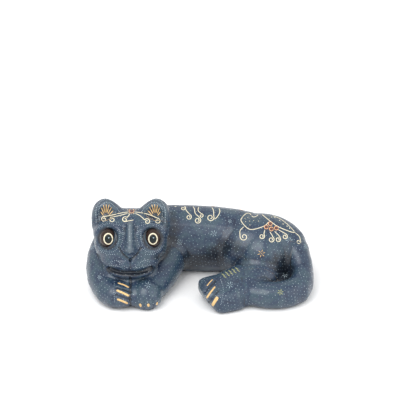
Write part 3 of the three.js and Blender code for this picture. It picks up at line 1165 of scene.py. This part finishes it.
DOT_GAP = 3.5
DOT_CLEAR = 1.5  # from a painted line, the mouth or a seam
EYE_CLEAR = 11.5  # from the middle of an eye
FLOOR_CLEAR = 1.6  # no dots lower than this
ROW_SLOPE = (0.35, 0.25, 1.0)  # the rows run square to this direction
UNDERSIDE = -0.45  # no dots where the skin faces down by more than this
WHITE_SHARE = 0.45


def in_rows():
    """Every skin vertex clear of the floor, with its body, row by row."""
    everywhere = []
    for body, groups in skin_points_of_body.items():
        points = np.vstack(groups)
        figure = in_figure(points)
        rows = np.round(figure @ np.array(ROW_SLOPE) / DOT_GAP)
        clear = figure[:, 2] > FLOOR_CLEAR
        everywhere += [(row, tuple(point), body) for row, point in zip(rows[clear], points[clear])]
    return [(body, point) for _, point, body in sorted(everywhere)]


def tree_of_lines():
    """Everything painted so far, and the seams, to look up what lies near a point."""
    points = painted_places + list(np.vstack(seam_points))
    lines = KDTree(len(points))
    for index, point in enumerate(points):
        lines.insert(point, index)
    lines.balance()
    return lines


def is_crowded(point, cell, cells):
    """Whether a dot in this cell or one beside it is nearer than the gap between dots."""
    return any(
        math.dist(point, other) < DOT_GAP * MM
        for step in product((-1, 0, 1), repeat=3)
        for other in cells.get(tuple(c + s for c, s in zip(cell, step)), ())
    )


def paint_dots():
    """Small dots in staggered rows over everything that is left free."""
    lines = tree_of_lines()
    random = np.random.default_rng(7)
    eyes = [low.lerp(high, 0.5) for low, high in (box_of("left_eye"), box_of("right_eye"))]
    cells = {}
    for body, point in in_rows():
        if any(math.dist(point, eye) < EYE_CLEAR * MM for eye in eyes):
            continue
        cell = tuple(int(c // (DOT_GAP * MM)) for c in point)
        if is_crowded(point, cell, cells) or lines.find(point)[2] < DOT_CLEAR * MM:
            continue
        cells.setdefault(cell, []).append(point)
        place, normal, _, _ = skin_surface.find_nearest(point)
        if normal.z < UNDERSIDE:
            continue
        paint = "white" if random.random() < WHITE_SHARE else "dim"
        dome(place, normal, random.uniform(0.32, 0.48), 0.22, paint, body=body)


def decoration(body, paint):
    mesh = bpy.data.meshes.new("decoration")
    mesh.from_pydata(paint.points, [], paint.faces)
    for name in PAINTS:
        mesh.materials.append(paint_materials[name])
    mesh.polygons.foreach_set("material_index", paint.paints)
    mesh.update()
    mesh.shade_smooth()
    piece = new_object(body + "_decoration", mesh)
    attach(piece, body)


# Eyes: glossy balls with a painted ring and iris, and a pale dot as a painted glint.
EYE_STEPS = 40
EYE_BULGE = 0.05
RING_RIGHT, RING_UP = 0.6, -0.9  # middle of the painted ring, on the front board
RING_HALF_WIDTH, RING_HALF_HEIGHT = 4.4, 5.4


def eye_mesh(node):
    """A ball the size of the node, with a bulge at its front."""
    low, high = box_of(node)
    middle, half = (low + high) / 2, (high - low) / 2
    shape = bmesh.new()
    bmesh.ops.create_uvsphere(shape, u_segments=EYE_STEPS, v_segments=EYE_STEPS // 2, radius=1)
    for vert in shape.verts:
        bulge = 1 + EYE_BULGE * max(vert.co.dot(FRONT), 0) ** 6
        vert.co = middle + Vector(a * b for a, b in zip(vert.co * bulge, half))
    mesh = mesh_from(shape, node)
    centre = middle + FRONT * half.y + (ACROSS * RING_RIGHT + RISE * RING_UP) * MM
    iris = mesh.attributes.new("iris", "FLOAT", "POINT")
    iris.data.foreach_set("value", [(vert.co - centre).length / MM for vert in mesh.vertices])
    mesh.materials.append(EYE_PAINT)
    mesh.shade_smooth()
    return mesh


def add_eye(node):
    eye = new_object(node + "_look", eye_mesh(node))
    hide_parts(node)
    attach(eye, "carving")
    low, high = box_of(node)
    surface = BVHTree.FromObject(eye, bpy.context.evaluated_depsgraph_get())
    board = Board((low + high) / 2, 0, math.degrees(SLOPE))
    ring = oval(RING_RIGHT, RING_UP, RING_HALF_WIDTH, RING_HALF_HEIGHT, 36)
    board.stroke(ring, 0.85, "cream", 0.25, surface, "carving", taper=0.1)
    # A pale dot beside the middle of the iris: a painted glint.
    point, normal = board.drop(RING_RIGHT + 0.5, RING_UP + 1.1, surface)
    dome(point, normal, 0.8, 0.25, "star", 12, "carving")


# Dowels and pegs: turned and fluted, with chamfered ends.
PEG_SIDES, PEG_FLUTES = 48, 12
PEG_CHAMFER = 0.8 * MM
FLUTE_DEPTH = 0.22 * MM


def peg_measures(node):
    """A peg's middle, axis, half length and radius, measured on the CAD's own mesh."""
    shape = welded(node)
    points = np.array([vert.co for vert in shape.verts])
    shape.free()
    middle = points.mean(0)
    axis = Vector(np.linalg.svd(points - middle)[2][0])
    along = (points - middle) @ np.array(axis)
    radius = np.linalg.norm(points - middle - along[:, None] * np.array(axis), axis=1).max()
    return Vector(middle), axis, along.max(), radius


def fluted_rod(middle, axis, half, radius):
    right = axis.orthogonal().normalized()
    forward = axis.cross(right)
    rings = [(-half, radius - PEG_CHAMFER), (-half + PEG_CHAMFER, radius)]
    rings += [(half * (-1 + 0.25 * step), radius) for step in range(1, 8)]
    rings += [(half - PEG_CHAMFER, radius), (half, radius - PEG_CHAMFER)]
    points = []
    for place, reach in rings:
        for step in range(PEG_SIDES):
            turn = 2 * math.pi * step / PEG_SIDES
            groove = FLUTE_DEPTH * max(math.cos(PEG_FLUTES * turn), 0) ** 2
            spoke = right * math.cos(turn) + forward * math.sin(turn)
            points.append(middle + axis * place + spoke * (reach - groove))
    faces = [tuple(reversed(range(PEG_SIDES)))]
    for start in range(0, len(points) - PEG_SIDES, PEG_SIDES):
        for step in range(PEG_SIDES):
            a, b = start + step, start + (step + 1) % PEG_SIDES
            faces.append((a, b, b + PEG_SIDES, a + PEG_SIDES))
    faces.append(tuple(range(len(points) - PEG_SIDES, len(points))))
    return points, faces


def add_peg(node):
    points, faces = fluted_rod(*peg_measures(node))
    mesh = bpy.data.meshes.new(node)
    mesh.from_pydata(points, [], faces)
    mesh.materials.append(BARE_WOOD)
    peg = new_object(node + "_look", mesh)
    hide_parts(node)
    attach(peg, body_of_node[node])


for node in ("left_eye", "right_eye"):
    add_eye(node)
for node in PEGS:
    add_peg(node)
paint_face()
paint_forehead()
paint_ear(1)
paint_ear(-1)
paint_claws()
paint_back()
paint_rump()
paint_far_side()
keep_mouth_clear()
paint_dots()
for body, paint in paint_on.items():
    decoration(body, paint)
bpy.data.objects.remove(skin)


# Floor and light.
FLOOR_REACH = 3.0
FLOOR_PALE = (0.95, 0.95, 0.95, 1)


def add_floor():
    mesh = bpy.data.meshes.new("floor")
    corners = [(x * FLOOR_REACH, y * FLOOR_REACH, 0) for x, y in ((-1, -1), (1, -1), (1, 1), (-1, 1))]
    mesh.from_pydata(corners, [], [(0, 1, 2, 3)])
    floor = new_object("floor", mesh)
    material = bpy.data.materials.new("floor")
    material.use_nodes = True
    surface = material.node_tree.nodes["Principled BSDF"]
    surface.inputs["Base Color"].default_value = FLOOR_PALE
    surface.inputs["Roughness"].default_value = 0.9
    mesh.materials.append(material)


def add_light(name, location, size, power):
    """A square lamp that shines on the figure."""
    data = bpy.data.lights.new(name, "AREA")
    data.size = size
    data.energy = power
    lamp = bpy.data.objects.new(name, data)
    bpy.context.scene.collection.objects.link(lamp)
    lamp.location = location
    lamp.rotation_euler = (FIGURE_MIDDLE - lamp.location).to_track_quat("-Z", "Y").to_euler()


def add_world():
    world = bpy.data.worlds.new("world")
    bpy.context.scene.world = world
    world.use_nodes = True
    background = world.node_tree.nodes["Background"]
    background.inputs["Color"].default_value = (1, 1, 1, 1)
    background.inputs["Strength"].default_value = 1.0


add_floor()
add_light("key", (-0.45, -0.6, 1.1), size=1.0, power=12)
add_light("fill", (0.9, -0.6, 0.6), size=1.2, power=5)
add_world()
bpy.context.scene.view_settings.view_transform = "Standard"
